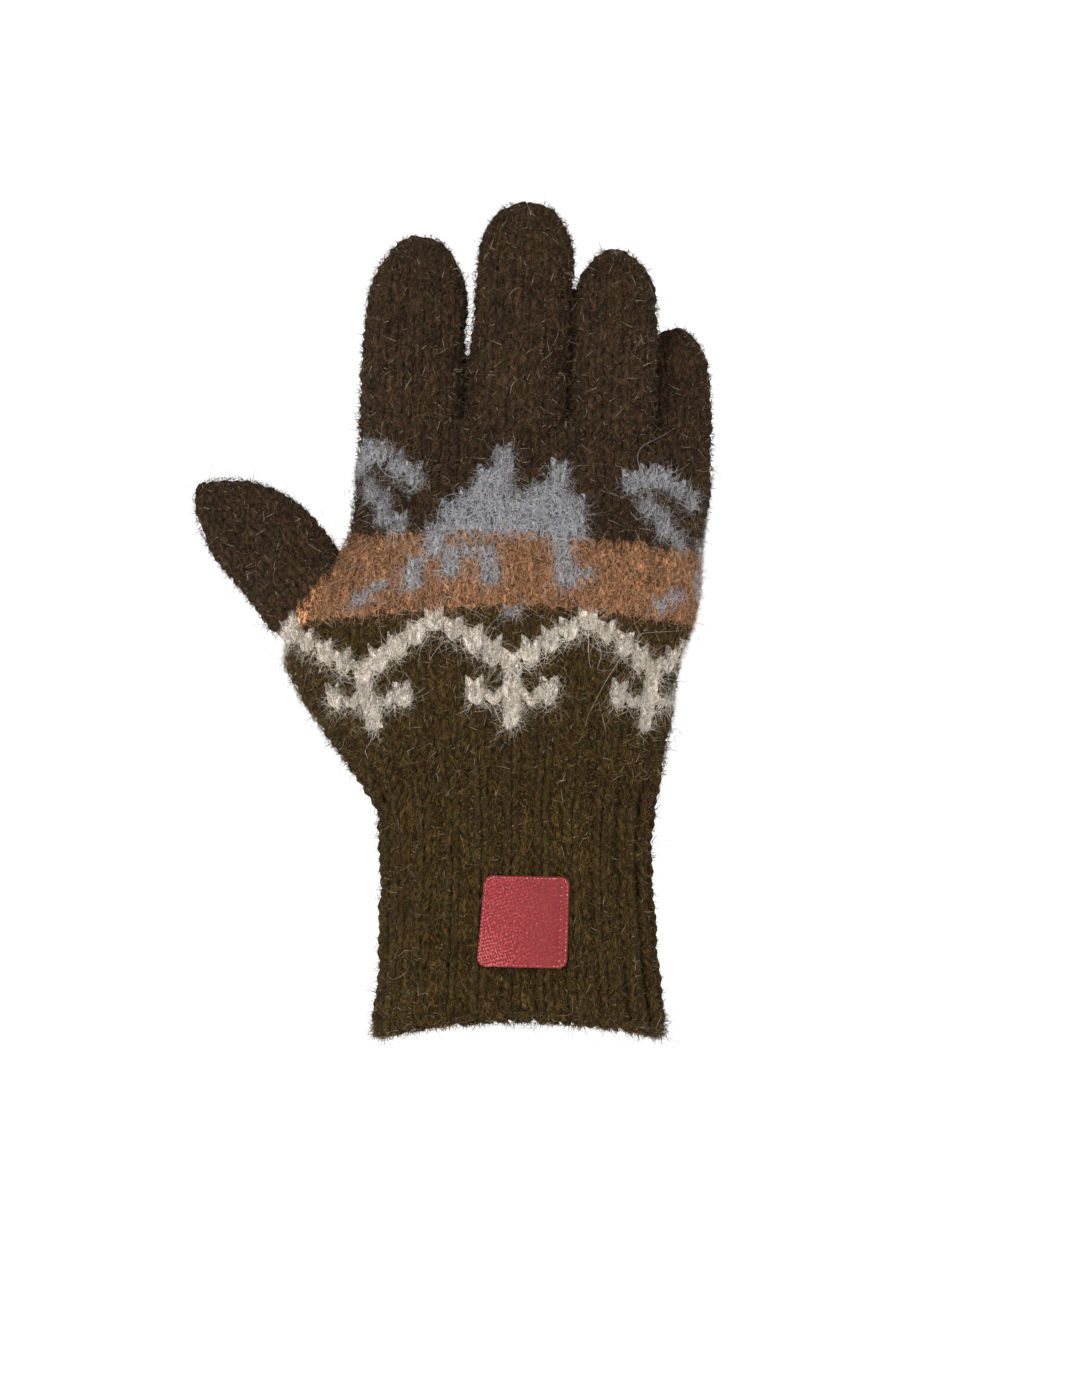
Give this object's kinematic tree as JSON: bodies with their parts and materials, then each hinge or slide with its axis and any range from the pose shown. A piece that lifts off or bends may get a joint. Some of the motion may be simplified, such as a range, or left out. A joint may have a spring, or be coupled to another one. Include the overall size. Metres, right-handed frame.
{
  "type": "knitted winter glove",
  "caption": "Chunky knitted wool glove with separate fingers, a ribbed cuff, a banded colourwork pattern on the hand and a plain woven label, open as worn.",
  "frame": {"origin": "centre of the wrist opening, in the plane of the cuff's lower edge", "axes": "+Z runs from the wrist opening to the fingertips, -Y faces out of the back of the hand, the thumb points to -X"},
  "size_m": [0.1457, 0.0605, 0.2338],
  "materials": {
    "cuff_wool": "fuzzy dark brown ribbed wool knit",
    "patterned_wool": "fuzzy brown wool knit with cream, grey and rust colourwork",
    "finger_wool": "fuzzy dark brown wool knit",
    "label_weave": "red satin-woven label with turned edges"
  },
  "bodies": {
    "root": {"cuff": "cuff_wool", "hand": "patterned_wool", "index_finger": "finger_wool", "middle_finger": "finger_wool", "ring_finger": "finger_wool", "little_finger": "finger_wool", "thumb": "finger_wool", "cuff_label": "label_weave"}
  },
  "joints": []
}
